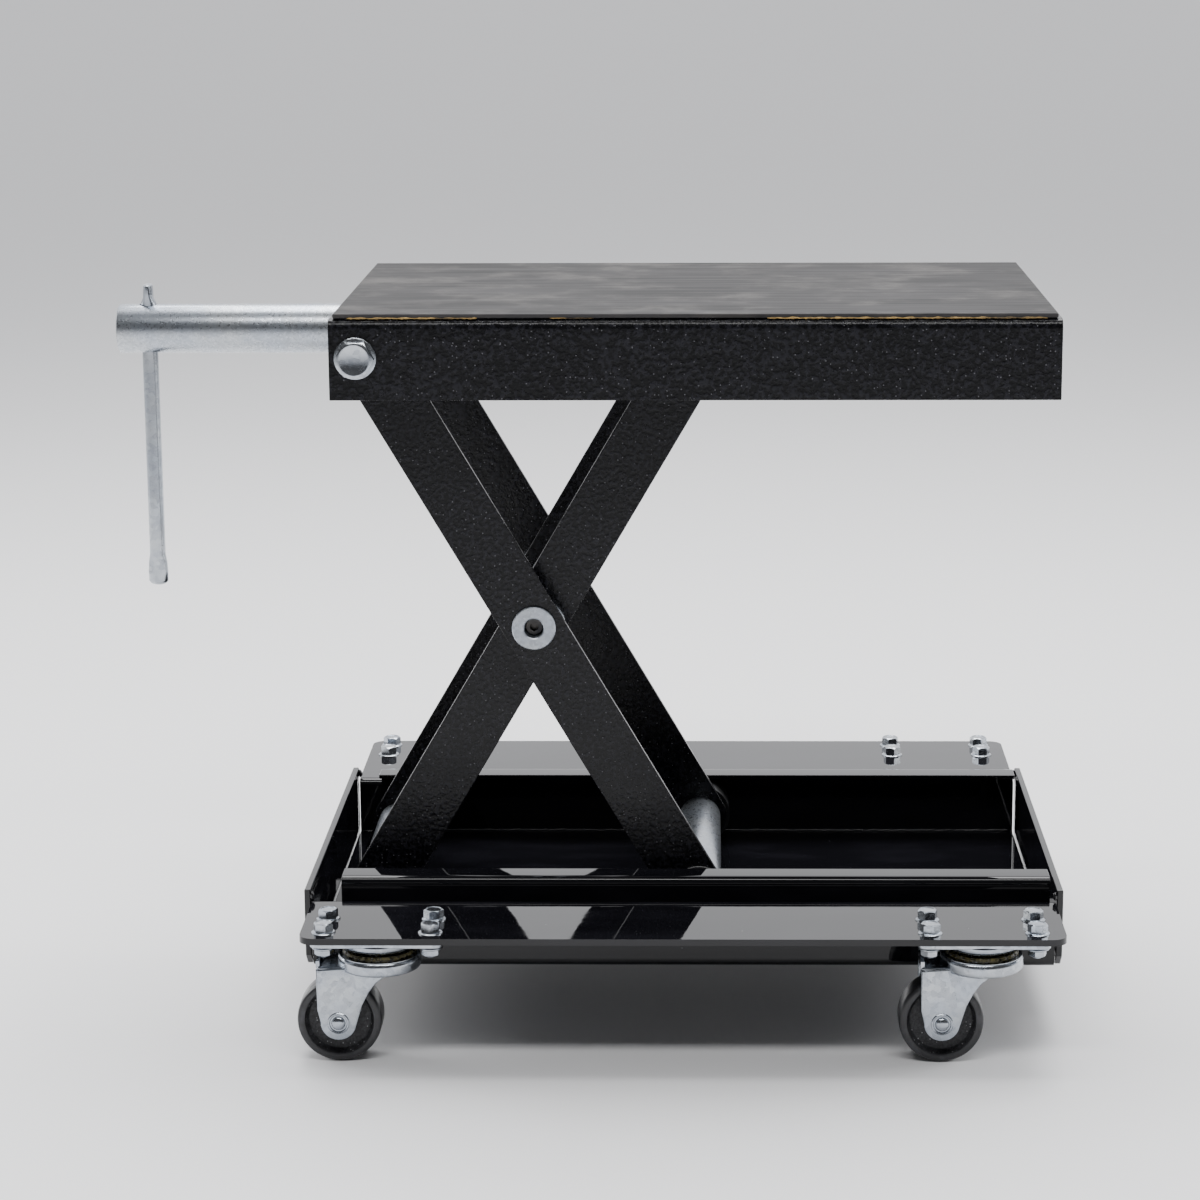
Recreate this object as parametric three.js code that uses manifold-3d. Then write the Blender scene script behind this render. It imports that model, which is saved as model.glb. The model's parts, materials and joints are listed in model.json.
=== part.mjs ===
// A scissor jack for a motorcycle, standing in a four-caster dolly. Millimetres, +Z up.
// X runs along the length, away from the crank; Y runs to the rear; the wheels stand on Z = 0.
import * as THREE from 'three';
import { mergeVertices } from 'three/addons/utils/BufferGeometryUtils.js';
import Module from 'manifold-3d';

const wasm = await Module();
wasm.setup();

// ---- Driving dimensions -------------------------------------------------------------------

const GAP = 0.3;                 // space left between two pieces that touch
const ROUND = 16;                // sides of a shaft or a hole
const WHEEL_SIDES = 24;

const DOLLY_X = 63;              // middle of the dolly; the box of the whole object is centred on X = 0
const FLANGE_LENGTH = 454.5;
const DOLLY_DEPTH = 453;
const FLANGE_TOP = 81.5;
const SHEET = 4;                 // dolly, rails, deck and arms are all about this thick
const FLANGE_CORNER = 9;
const TRAY_FRONT = -154.5;       // outer face of the front wall
const TRAY_REAR = 127;           // outer face of the rear wall
const TRAY_BOTTOM = 40;
const END_PLATE_TOP = 89;
const END_PLATE_OUT = 232;       // from the dolly's middle to an end plate's outer face

const JACK_X = 70.3;             // middle of the jack: it stands off-centre in the dolly
const JACK_Y = -9;
const JACK_LENGTH = 437;
const BASE_PLATE_TOP = 46.9;
const RAIL_HALF = 127;           // from the jack's middle to the outer face of a rail
const RAIL_TOP = 91.3;
const RAIL_LIP = 19;
const RAIL_SHEET = 3;

const ARM_LENGTH = 402.7;        // pivot to pivot
const ARM_WIDTH = 36.6;
const ARM_ANGLE = THREE.MathUtils.degToRad(59.6);
const LEFT_PIVOT = JACK_X - 201.4;
const LOW_PIVOT = 67.6;
const OUTER_ARM_FACE = 92.5;     // from the jack's middle to an outer arm's outer face
const INNER_ARM_FACE = 76.5;

const SHAFT_R = 8;
const CROSS_TUBE_R = 14;
const CENTRE_SHAFT_R = 10;
const ROLLER_R = 20.3;
const ROLLER_WIDTH = 24;

const DECK_LENGTH = 434.6;
const DECK_WIDTH = 271.4;
const DECK_ABOVE_PIVOT = 23.1;   // deck sheet's top over the upper pivots
const DECK_SIDE = 48.4;
const PAD_THICK = 2.7;
const PAD_INSET = 2.5;

const CRANK_END = DOLLY_X - 358;
const CRANK_R = 15.5;
const CRANK_BORE = 12;
const BAR_FROM_END = 18.8;
const BAR_R = 5;
const BAR_LENGTH = 193.7;

const CASTER_X = 180;            // from the casters' middle to a swivel axis
const CASTER_SHIFT = -1.5;       // the casters' middle, from the dolly's
const CASTER_EDGE = 25;          // from the flange's long edge to a swivel axis
const CASTER_BOLTS = [31.75, 13];
const CASTER_PLATE = [39.5, 22]; // half its length and half its width
const BOLT_HOLE_R = 3.4;
const RACE_R = 22.5;
const CROWN_R = 25;
const FORK_REAR = -37;
const CASTER_TRAIL = 24;
const WHEEL_R = 25.4;
const WHEEL_WIDTH = 21;

const FINISH = {
  glossPaint: { color: 0x0b0b10, roughness: 0.12, metalness: 0 },
  satinPaint: { color: 0x101014, roughness: 0.4, metalness: 0 },
  rubber: { color: 0x232224, roughness: 0.75, metalness: 0 },
  zinc: { color: 0xc4ccd4, roughness: 0.35, metalness: 1 },
  blackSteel: { color: 0x141416, roughness: 0.45, metalness: 1 },
  castIron: { color: 0x17171a, roughness: 0.7, metalness: 0 },
  nylon: { color: 0x1a1a1c, roughness: 0.5, metalness: 0 },
};

// ---- Sizes that follow from them ----------------------------------------------------------

const RIGHT_PIVOT = LEFT_PIVOT + ARM_LENGTH * Math.cos(ARM_ANGLE);
const HIGH_PIVOT = LOW_PIVOT + ARM_LENGTH * Math.sin(ARM_ANGLE);
const MID_X = (LEFT_PIVOT + RIGHT_PIVOT) / 2;
const MID_Z = (LOW_PIVOT + HIGH_PIVOT) / 2;
const DECK_TOP = HIGH_PIVOT + DECK_ABOVE_PIVOT;
const FLANGE_UNDER = FLANGE_TOP - SHEET;
const SHAFT_HOLE_R = SHAFT_R + GAP;

// ---- Solids -------------------------------------------------------------------------------

/** A closed three.js geometry as a manifold solid. */
function solid(geometry) {
  const bare = geometry.clone();
  bare.deleteAttribute('normal');
  bare.deleteAttribute('uv');
  const merged = mergeVertices(bare, 1e-4);
  return new wasm.Manifold(new wasm.Mesh({
    numProp: 3,
    vertProperties: new Float32Array(merged.attributes.position.array),
    triVerts: new Uint32Array(merged.index.array),
  }));
}

/** A manifold solid as a three.js geometry. */
function surface(manifold) {
  const mesh = manifold.getMesh();
  const geometry = new THREE.BufferGeometry();
  geometry.setAttribute('position', new THREE.BufferAttribute(new Float32Array(mesh.vertProperties), 3));
  geometry.setIndex(new THREE.BufferAttribute(new Uint32Array(mesh.triVerts), 1));
  return geometry;
}

const joined = (...parts) => surface(parts.map(solid).reduce((sum, part) => sum.add(part)));

const cut = (body, ...tools) => surface(
  tools.map(solid).reduce((rest, tool) => rest.subtract(tool), solid(body)),
);

/** A box between two corners. */
function block(low, high) {
  const size = high.map((value, axis) => value - low[axis]);
  const middle = high.map((value, axis) => (value + low[axis]) / 2);
  return new THREE.BoxGeometry(...size).translate(...middle);
}

/** A cylinder along X, Y or Z between two stations on that axis. */
function rod(axis, radius, from, to, sides = ROUND) {
  const geometry = new THREE.CylinderGeometry(radius, radius, to - from, sides);
  geometry.translate(0, (from + to) / 2, 0);
  if (axis === 'x') geometry.rotateZ(-Math.PI / 2);
  if (axis === 'z') geometry.rotateX(Math.PI / 2);
  return geometry;
}

/** A cylinder along Y on the front (-1) or rear (+1) side, between two distances from the middle. */
function sideRod(radius, sign, near, far, sides = ROUND) {
  return rod('y', radius, Math.min(sign * near, sign * far), Math.max(sign * near, sign * far), sides);
}

/** A closed ring profile of [radius, height] points turned about Y. */
function turned(profile, sides = ROUND) {
  const points = profile.map(([radius, height]) => new THREE.Vector2(radius, height));
  if (THREE.ShapeUtils.isClockWise(points)) points.reverse();
  return new THREE.LatheGeometry([...points, points[0].clone()], sides);
}

/** A sheet outline in the YZ plane, drawn along X. */
function alongX(shape, from, to) {
  const settings = { depth: to - from, bevelEnabled: false, curveSegments: 4 };
  const geometry = new THREE.ExtrudeGeometry(shape, settings);
  geometry.applyMatrix4(new THREE.Matrix4().set(0, 0, 1, from, 1, 0, 0, 0, 0, 1, 0, 0, 0, 0, 0, 1));
  return geometry;
}

/** A plate outline in the XZ plane, drawn along Y. */
function alongY(shape, from, to, curveSegments = 8) {
  const settings = { depth: to - from, bevelEnabled: false, curveSegments };
  const geometry = new THREE.ExtrudeGeometry(shape, settings);
  geometry.rotateX(Math.PI / 2);
  return geometry.translate(0, to, 0);
}

/** The strip of a bent sheet: a centre line of [y, z] points with rounded corners, given a thickness. */
function bentSheet(line, thick, bend) {
  const side = (sign) => line.map(([y, z], i) => {
    const before = line[Math.max(i - 1, 0)];
    const after = line[Math.min(i + 1, line.length - 1)];
    const into = new THREE.Vector2(y - before[0], z - before[1]);
    const out = new THREE.Vector2(after[0] - y, after[1] - z);
    if (i === 0) into.copy(out);
    if (i === line.length - 1) out.copy(into);
    into.normalize();
    out.normalize();
    const normal = new THREE.Vector2(-into.y - out.y, into.x + out.x);
    normal.multiplyScalar(thick / 2 * sign / (1 + into.dot(out)));
    const turn = into.cross(out) * sign;
    const radius = turn > 0.5 ? bend : turn < -0.5 ? bend + thick : 0;
    return { at: new THREE.Vector2(y, z).add(normal), radius };
  });
  const outline = [...side(1), ...side(-1).reverse()];
  const shape = new THREE.Shape();
  outline.forEach(({ at, radius }, i) => {
    const before = outline[(i + outline.length - 1) % outline.length].at;
    const after = outline[(i + 1) % outline.length].at;
    const enter = at.clone().add(before.clone().sub(at).setLength(radius));
    const leave = at.clone().add(after.clone().sub(at).setLength(radius));
    const start = radius ? enter : at;
    if (i === 0) shape.moveTo(start.x, start.y);
    else shape.lineTo(start.x, start.y);
    if (radius) shape.quadraticCurveTo(at.x, at.y, leave.x, leave.y);
  });
  return shape;
}

const jack = new THREE.Group();
const dolly = new THREE.Group();
dolly.position.set(DOLLY_X, 0, 0);
const assembly = new THREE.Group();
assembly.add(dolly, jack);

/** Adds one named piece to a group, at a place and turned about Y. */
function piece(group, name, geometry, finish, at = [0, 0, 0], turnY = 0) {
  const mesh = new THREE.Mesh(geometry, new THREE.MeshStandardMaterial(FINISH[finish]));
  mesh.name = name;
  mesh.position.set(...at);
  mesh.rotation.y = turnY;
  group.add(mesh);
}

// ---- Dolly --------------------------------------------------------------------------------

const ENDS = [['left', -1], ['right', 1]];
const SIDES = [['front', -1], ['rear', 1]];

/** The four casters' places, in the dolly's own frame. */
const casters = SIDES.flatMap(([side, y]) => ENDS.map(([end, x]) => ({
  name: `${side}_${end}`,
  x: x * CASTER_X + CASTER_SHIFT,
  y: y * (DOLLY_DEPTH / 2 - CASTER_EDGE),
})));

const boltPlaces = [-1, 1].flatMap((y) => (
  [-1, 1].map((x) => [x * CASTER_BOLTS[0], y * CASTER_BOLTS[1]])
));

/** One folded sheet: two flanges, two walls and a floor, with the casters' bolt holes. */
function tray() {
  const edge = DOLLY_DEPTH / 2;
  const mid = FLANGE_TOP - SHEET / 2;
  const floor = TRAY_BOTTOM + SHEET / 2;
  const front = TRAY_FRONT + SHEET / 2;
  const rear = TRAY_REAR - SHEET / 2;
  const line = [[-edge, mid], [front, mid], [front, floor], [rear, floor], [rear, mid], [edge, mid]];
  const half = FLANGE_LENGTH / 2;
  const folded = solid(alongX(bentSheet(line, SHEET, 1), -half, half));
  const outline = new THREE.Shape();
  const r = FLANGE_CORNER;
  outline.moveTo(-half + r, -edge);
  outline.absarc(half - r, -edge + r, r, -Math.PI / 2, 0);
  outline.absarc(half - r, edge - r, r, 0, Math.PI / 2);
  outline.absarc(-half + r, edge - r, r, Math.PI / 2, Math.PI);
  outline.absarc(-half + r, -edge + r, r, Math.PI, Math.PI * 1.5);
  const settings = { depth: FLANGE_TOP, bevelEnabled: false, curveSegments: 4 };
  const corners = new THREE.ExtrudeGeometry(outline, settings);
  corners.translate(0, 0, 1);
  let body = folded.intersect(solid(corners));
  for (const caster of casters) {
    for (const [x, y] of boltPlaces) {
      const hole = rod('z', BOLT_HOLE_R, FLANGE_UNDER - 1, FLANGE_TOP + 1, 8);
      body = body.subtract(solid(hole.translate(caster.x + x, caster.y + y, 0)));
    }
  }
  return surface(body);
}

/** A flat plate that closes one end of the tray, with its lower corners cut off. */
function endPlate() {
  const chamfer = 7;
  const shape = new THREE.Shape();
  shape.moveTo(TRAY_FRONT + chamfer, TRAY_BOTTOM);
  shape.lineTo(TRAY_REAR - chamfer, TRAY_BOTTOM);
  shape.lineTo(TRAY_REAR, TRAY_BOTTOM + chamfer);
  shape.lineTo(TRAY_REAR, END_PLATE_TOP);
  shape.lineTo(TRAY_FRONT, END_PLATE_TOP);
  shape.lineTo(TRAY_FRONT, TRAY_BOTTOM + chamfer);
  return alongX(shape, -SHEET / 2, SHEET / 2);
}

piece(dolly, 'dolly_tray', tray(), 'glossPaint');
for (const [end, sign] of ENDS) {
  piece(dolly, `${end}_end_plate`, endPlate(), 'glossPaint', [sign * (END_PLATE_OUT - SHEET / 2), 0, 0]);
}

// ---- Casters ------------------------------------------------------------------------------

const PLATE_TOP = FLANGE_UNDER - GAP;
const PLATE_THICK = 3;
const RACE_BOTTOM = 68;
const CROWN_TOP = 65.7;
const CROWN_THICK = 2.7;
const LEG_INSIDE = WHEEL_WIDTH / 2 + 2;
const LEG_THICK = 2.5;
const KINGPIN_R = 5;

/** The top plate with its pressed race, and the kingpin riveted in it. */
function casterPlate() {
  const [halfX, halfY] = CASTER_PLATE;
  const plate = block([-halfX, -halfY, PLATE_TOP - PLATE_THICK], [halfX, halfY, PLATE_TOP]);
  const race = new THREE.CylinderGeometry(RACE_R, RACE_R - 3.5, PLATE_TOP - 1 - RACE_BOTTOM, ROUND);
  race.rotateX(Math.PI / 2).translate(0, 0, (PLATE_TOP - 1 + RACE_BOTTOM) / 2);
  const pin = rod('z', KINGPIN_R, CROWN_TOP - 8, RACE_BOTTOM + 1, 12);
  const head = rod('z', KINGPIN_R + 3, CROWN_TOP - 9, CROWN_TOP - CROWN_THICK - GAP, 12);
  const hole = () => rod('z', BOLT_HOLE_R, PLATE_TOP - 4, PLATE_TOP + 1, 8);
  const holes = boltPlaces.map(([x, y]) => hole().translate(x, y, 0));
  return cut(joined(plate, race, pin, head), ...holes);
}

/** The pressed fork: a round crown, two legs that reach back to the axle, and the axle itself. */
function casterFork() {
  const back = -CASTER_TRAIL;
  const half = LEG_INSIDE + LEG_THICK;
  const crown = joined(
    rod('z', CROWN_R, CROWN_TOP - CROWN_THICK, CROWN_TOP, ROUND),
    block([FORK_REAR, -half, CROWN_TOP - CROWN_THICK], [0, half, CROWN_TOP]),
  );
  const shape = new THREE.Shape();
  shape.moveTo(FORK_REAR, CROWN_TOP - 1);
  shape.lineTo(FORK_REAR + 0.5, 42);
  shape.lineTo(back - 10.6, WHEEL_R + 2);
  shape.absarc(back, WHEEL_R, 10.8, Math.PI * 0.95, Math.PI * 2.08);
  shape.lineTo(14, CROWN_TOP - 5);
  shape.lineTo(16, CROWN_TOP - 1);
  const legs = SIDES.map(([, sign]) => {
    const inside = sign * LEG_INSIDE;
    const outside = sign * half;
    return alongY(shape, Math.min(inside, outside), Math.max(inside, outside), 6);
  });
  const axle = [
    rod('y', 4, -half, half, 12),
    rod('y', 5.8, -half - 1.6, -half + 0.5, 12),
    rod('y', 5.8, half - 0.5, half + 1.6, 12),
  ].map((part) => part.translate(back, 0, WHEEL_R));
  const kingpinHole = rod('z', KINGPIN_R + GAP, CROWN_TOP - 9, CROWN_TOP + 1, 12);
  return joined(cut(crown, kingpinHole), ...legs, ...axle);
}

/** A cast wheel with a recessed web on both faces. */
function wheel() {
  const half = WHEEL_WIDTH / 2;
  const web = half - 4;
  return turned([
    [4.3, -half], [8.5, -half], [9.5, -web], [20, -web], [20.8, -half], [24, -half],
    [WHEEL_R, -half + 3], [WHEEL_R, half - 3],
    [24, half], [20.8, half], [20, web], [9.5, web], [8.5, half], [4.3, half],
  ], WHEEL_SIDES);
}

/** A flange-head bolt through the flange and the plate, with its nut below. */
function casterBolt() {
  const under = PLATE_TOP - PLATE_THICK - GAP;
  return joined(
    rod('z', 7.2, FLANGE_TOP + GAP, FLANGE_TOP + GAP + 1.5, 12),
    rod('z', 6.2, FLANGE_TOP + 1, FLANGE_TOP + 6.6, 6),
    rod('z', 2.9, under - 7.2, FLANGE_TOP + 1, 6),
    rod('z', 6.8, under - 1.2, under, 12),
    rod('z', 5.8, under - 5.2, under - 1, 6),
  );
}

for (const { name, x, y } of casters) {
  piece(dolly, `caster_plate_${name}`, casterPlate(), 'zinc', [x, y, 0]);
  piece(dolly, `caster_fork_${name}`, casterFork(), 'zinc', [x, y, 0]);
  piece(dolly, `caster_wheel_${name}`, wheel(), 'castIron', [x - CASTER_TRAIL, y, WHEEL_R]);
  boltPlaces.forEach(([dx, dy], i) => {
    piece(dolly, `caster_bolt_${name}_${i + 1}`, casterBolt(), 'zinc', [x + dx, y + dy, 0]);
  });
}

// ---- Jack's base --------------------------------------------------------------------------

/** A rail: a wall that stands on the base plate, with a lip bent inwards over the rollers. */
function rail() {
  const wall = RAIL_HALF - RAIL_SHEET / 2;
  const top = RAIL_TOP - RAIL_SHEET / 2;
  const line = [[wall, BASE_PLATE_TOP + GAP], [wall, top], [RAIL_HALF - RAIL_LIP, top]];
  return alongX(bentSheet(line, RAIL_SHEET, 1.5), -JACK_LENGTH / 2, JACK_LENGTH / 2);
}

/** An ear on the base plate that carries the lower pivot. */
function pivotEar() {
  const half = ARM_WIDTH / 2;
  const shape = new THREE.Shape();
  shape.moveTo(-half - 6, BASE_PLATE_TOP + GAP);
  shape.lineTo(half + 6, BASE_PLATE_TOP + GAP);
  shape.lineTo(half - 4, LOW_PIVOT + 6);
  shape.absarc(0, LOW_PIVOT, half - 3, 0.4, Math.PI - 0.4);
  shape.lineTo(-half + 4, LOW_PIVOT + 6);
  return cut(alongY(shape, -2.5, 2.5), rod('y', SHAFT_HOLE_R, -4, 4).translate(0, 0, LOW_PIVOT));
}

const basePlate = block(
  [-JACK_LENGTH / 2, -RAIL_HALF, TRAY_BOTTOM + SHEET + GAP],
  [JACK_LENGTH / 2, RAIL_HALF, BASE_PLATE_TOP],
);
jack.position.set(0, JACK_Y, 0);
piece(jack, 'base_plate', basePlate, 'glossPaint', [JACK_X, 0, 0]);
piece(jack, 'front_rail', rail().rotateZ(Math.PI), 'glossPaint', [JACK_X, 0, 0]);
piece(jack, 'rear_rail', rail(), 'glossPaint', [JACK_X, 0, 0]);
for (const [side, sign] of SIDES) {
  piece(jack, `pivot_ear_${side}`, pivotEar(), 'satinPaint', [LEFT_PIVOT, sign * (INNER_ARM_FACE + 3), 0]);
}

// ---- Scissor arms -------------------------------------------------------------------------

/** A flat arm with round ends, along its own X, with a hole at each end and one in the middle. */
function arm() {
  const half = ARM_LENGTH / 2;
  const r = ARM_WIDTH / 2;
  const shape = new THREE.Shape();
  shape.absarc(half, 0, r, -Math.PI / 2, Math.PI / 2);
  shape.absarc(-half, 0, r, Math.PI / 2, Math.PI * 1.5);
  const plate = alongY(shape, -SHEET / 2, SHEET / 2);
  const holes = [[-half, SHAFT_HOLE_R], [0, CENTRE_SHAFT_R + GAP], [half, SHAFT_HOLE_R]];
  const bores = holes.map(([x, radius]) => rod('y', radius, -SHEET, SHEET).translate(x, 0, 0));
  return cut(plate, ...bores);
}

/** A cross tube between two arms, with a thinner shaft that runs on through them to each side. */
const crossShaft = (tubeHalf, shaftHalf) => joined(
  rod('y', CROSS_TUBE_R, -tubeHalf, tubeHalf),
  rod('y', SHAFT_R, -shaftHalf, shaftHalf),
);

const outerArmY = OUTER_ARM_FACE - SHEET / 2;
const innerArmY = INNER_ARM_FACE - SHEET / 2;
for (const [side, sign] of SIDES) {
  piece(jack, `outer_arm_${side}`, arm(), 'satinPaint', [MID_X, sign * outerArmY, MID_Z], ARM_ANGLE);
  piece(jack, `inner_arm_${side}`, arm(), 'satinPaint', [MID_X, sign * innerArmY, MID_Z], -ARM_ANGLE);
}
const baseShaft = crossShaft(INNER_ARM_FACE - SHEET - GAP, INNER_ARM_FACE + 8);
const rollerShaft = crossShaft(OUTER_ARM_FACE - SHEET - GAP, OUTER_ARM_FACE + ROLLER_WIDTH + 1.5);
piece(jack, 'base_pivot_shaft', baseShaft, 'zinc', [LEFT_PIVOT, 0, LOW_PIVOT]);
piece(jack, 'roller_shaft', rollerShaft, 'zinc', [RIGHT_PIVOT, 0, LOW_PIVOT]);

const DISC_THICK = 3;
const SCREW_HEAD_R = 5.2;
const SCREW_RECESS = 6;

/** The centre shaft with a disc on each end, bored for a sunk socket screw. */
function centreShaft() {
  const face = OUTER_ARM_FACE + GAP;
  const end = face + DISC_THICK;
  const discs = SIDES.map(([, sign]) => sideRod(13.5, sign, face, end, WHEEL_SIDES));
  const bores = SIDES.map(([, sign]) => sideRod(SCREW_HEAD_R + GAP + 0.5, sign, end - 30, end + 1));
  return cut(joined(rod('y', CENTRE_SHAFT_R, -face - 0.5, face + 0.5), ...discs), ...bores);
}

/** A socket screw: a round head with a hexagon socket, sunk in the shaft's end. */
function socketScrew() {
  const body = joined(rod('y', SCREW_HEAD_R, -6, 0, 12), rod('y', 3, -22, -5, 8));
  return cut(body, rod('y', 2.9, -3.5, 1, 6));
}

piece(jack, 'centre_shaft', centreShaft(), 'zinc', [MID_X, 0, MID_Z]);
for (const [side, sign] of SIDES) {
  const sunk = OUTER_ARM_FACE + DISC_THICK - SCREW_RECESS;
  const screw = sign > 0 ? socketScrew() : socketScrew().rotateZ(Math.PI);
  piece(jack, `centre_screw_${side}`, screw, 'blackSteel', [MID_X, sign * sunk, MID_Z]);
  const inside = INNER_ARM_FACE + GAP;
  const outside = OUTER_ARM_FACE - SHEET - GAP;
  const washer = turned([
    [CENTRE_SHAFT_R + GAP, -(outside - inside) / 2], [CENTRE_SHAFT_R + GAP, (outside - inside) / 2],
    [19, (outside - inside) / 2], [19, -(outside - inside) / 2],
  ]);
  piece(jack, `arm_spacer_${side}`, washer, 'zinc', [MID_X, sign * (inside + outside) / 2, MID_Z]);
  const nearY = OUTER_ARM_FACE + GAP;
  const rollerY = nearY + ROLLER_WIDTH / 2;
  piece(jack, `roller_${side}`, roller(), 'nylon', [RIGHT_PIVOT, sign * rollerY, LOW_PIVOT]);
}

/** A roller with its rims eased. */
function roller() {
  const half = ROLLER_WIDTH / 2;
  const edge = half - 1.5;
  return turned([
    [SHAFT_HOLE_R, -half], [ROLLER_R - 1.5, -half], [ROLLER_R, -edge], [ROLLER_R, edge],
    [ROLLER_R - 1.5, half], [SHAFT_HOLE_R, half],
  ], WHEEL_SIDES);
}

// ---- Deck ---------------------------------------------------------------------------------

const BLOCK_HALF = 12;
const DECK_SIDE_IN = DECK_WIDTH / 2 - SHEET;

/** The deck: one sheet folded down along both long sides, open at the ends. */
function deckPan() {
  const wall = DECK_WIDTH / 2 - SHEET / 2;
  const top = DECK_TOP - SHEET / 2;
  const bottom = DECK_TOP - DECK_SIDE;
  const line = [[-wall, bottom], [-wall, top], [wall, top], [wall, bottom]];
  const pan = alongX(bentSheet(line, SHEET, 2), -DECK_LENGTH / 2, DECK_LENGTH / 2);
  const hole = rod('y', SHAFT_HOLE_R, -DECK_WIDTH, DECK_WIDTH);
  return cut(pan, hole.translate(LEFT_PIVOT - JACK_X, 0, HIGH_PIVOT));
}

/** A pivot bolt: washer and head outside the deck, shank through the arm into the bearing block. */
const deckBolt = () => joined(
  rod('y', SHAFT_R, OUTER_ARM_FACE - 25, DECK_WIDTH / 2 + 1),
  rod('y', 12.6, DECK_WIDTH / 2 + GAP, DECK_WIDTH / 2 + 2, WHEEL_SIDES),
  rod('y', 11.6, DECK_WIDTH / 2 + 1.5, DECK_WIDTH / 2 + 9, 6),
);

/** A square cross bar between two arms, bored along X for the screw. */
function crossBlock(half, height, ends) {
  const bar = block([-BLOCK_HALF, -half, -height], [BLOCK_HALF, half, height]);
  return cut(ends ? joined(bar, ends) : bar, rod('x', SHAFT_HOLE_R, -BLOCK_HALF - 1, BLOCK_HALF + 1));
}

/** The fixed block at the crank's end: the deck bolts run into its two ends. */
function bearingBlock() {
  const half = OUTER_ARM_FACE - SHEET - GAP;
  const bores = SIDES.map(([, sign]) => sideRod(SHAFT_HOLE_R, sign, OUTER_ARM_FACE - 31, OUTER_ARM_FACE));
  return cut(crossBlock(half, 16), ...bores);
}

const nutHalf = INNER_ARM_FACE - SHEET - GAP;
const nutBlock = crossBlock(nutHalf, 13, rod('y', SHAFT_R, -INNER_ARM_FACE - 3, INNER_ARM_FACE + 3));

piece(jack, 'deck_pan', deckPan(), 'satinPaint', [JACK_X, 0, 0]);
const padHalfX = DECK_LENGTH / 2 - PAD_INSET;
const padHalfY = DECK_WIDTH / 2 - PAD_INSET;
const pad = block([-padHalfX, -padHalfY, 0], [padHalfX, padHalfY, PAD_THICK]);
piece(jack, 'rubber_pad', pad, 'rubber', [JACK_X, 0, DECK_TOP + GAP]);
for (const [side, sign] of SIDES) {
  const bolt = sign > 0 ? deckBolt() : deckBolt().rotateZ(Math.PI);
  piece(jack, `deck_bolt_${side}`, bolt, 'zinc', [LEFT_PIVOT, 0, HIGH_PIVOT]);
  const near = OUTER_ARM_FACE + GAP;
  const far = DECK_SIDE_IN - GAP;
  const sleeve = turned([[SHAFT_HOLE_R, near], [SHAFT_HOLE_R, far], [12, far], [12, near]]);
  if (sign < 0) sleeve.rotateZ(Math.PI);
  piece(jack, `deck_sleeve_${side}`, sleeve, 'zinc', [LEFT_PIVOT, 0, HIGH_PIVOT]);
}
piece(jack, 'bearing_block', bearingBlock(), 'blackSteel', [LEFT_PIVOT, 0, HIGH_PIVOT]);
piece(jack, 'nut_block', nutBlock, 'blackSteel', [RIGHT_PIVOT, 0, HIGH_PIVOT]);

// ---- Screw and crank ----------------------------------------------------------------------

const TUBE_RIGHT = LEFT_PIVOT - BLOCK_HALF - GAP - 0.5;
const HUB_LENGTH = 30;

/** The long screw, with a thick hub inside the crank tube and a collar past the bearing block. */
const leadScrew = joined(
  rod('x', SHAFT_R, TUBE_RIGHT - 10, JACK_X + DECK_LENGTH / 2 - 4),
  rod('x', CRANK_BORE - GAP, TUBE_RIGHT - HUB_LENGTH, TUBE_RIGHT - 1),
  rod('x', 12, LEFT_PIVOT + BLOCK_HALF + GAP, LEFT_PIVOT + BLOCK_HALF + 8),
);

/** The crank tube, with a hole across it for the sliding bar. */
function crankTube() {
  const tube = rod('x', CRANK_R, CRANK_END, TUBE_RIGHT, WHEEL_SIDES);
  const bore = rod('x', CRANK_BORE, CRANK_END - 1, TUBE_RIGHT + 1, WHEEL_SIDES);
  const across = rod('z', BAR_R + GAP + 0.1, -CRANK_R - 1, CRANK_R + 1);
  return cut(tube, bore, across.translate(CRANK_END + BAR_FROM_END, 0, 0));
}

/** The sliding bar: its upper end is pressed flat one way and its lower end the other way. */
function tommyBar() {
  const top = CRANK_R + 12.5;
  const bottom = top - BAR_LENGTH;
  const upper = block([-3, -6.5, CRANK_R + GAP], [3, 6.5, top]);
  const shape = new THREE.Shape();
  shape.moveTo(-6.4, bottom + 20);
  shape.lineTo(-6.4, bottom + 4);
  shape.quadraticCurveTo(0, bottom - 3.6, 6.4, bottom + 2);
  shape.lineTo(6.4, bottom + 20);
  const lower = alongY(shape, -3, 3, 6);
  return joined(rod('z', BAR_R, bottom + 15, top - 2), upper, lower);
}

piece(jack, 'lead_screw', leadScrew, 'blackSteel', [0, 0, HIGH_PIVOT]);
piece(jack, 'crank_tube', crankTube(), 'zinc', [0, 0, HIGH_PIVOT]);
piece(jack, 'tommy_bar', tommyBar(), 'zinc', [CRANK_END + BAR_FROM_END, 0, HIGH_PIVOT]);

export default assembly;
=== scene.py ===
import json
import math

import bmesh
import bpy
from mathutils import Matrix, Vector


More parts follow.
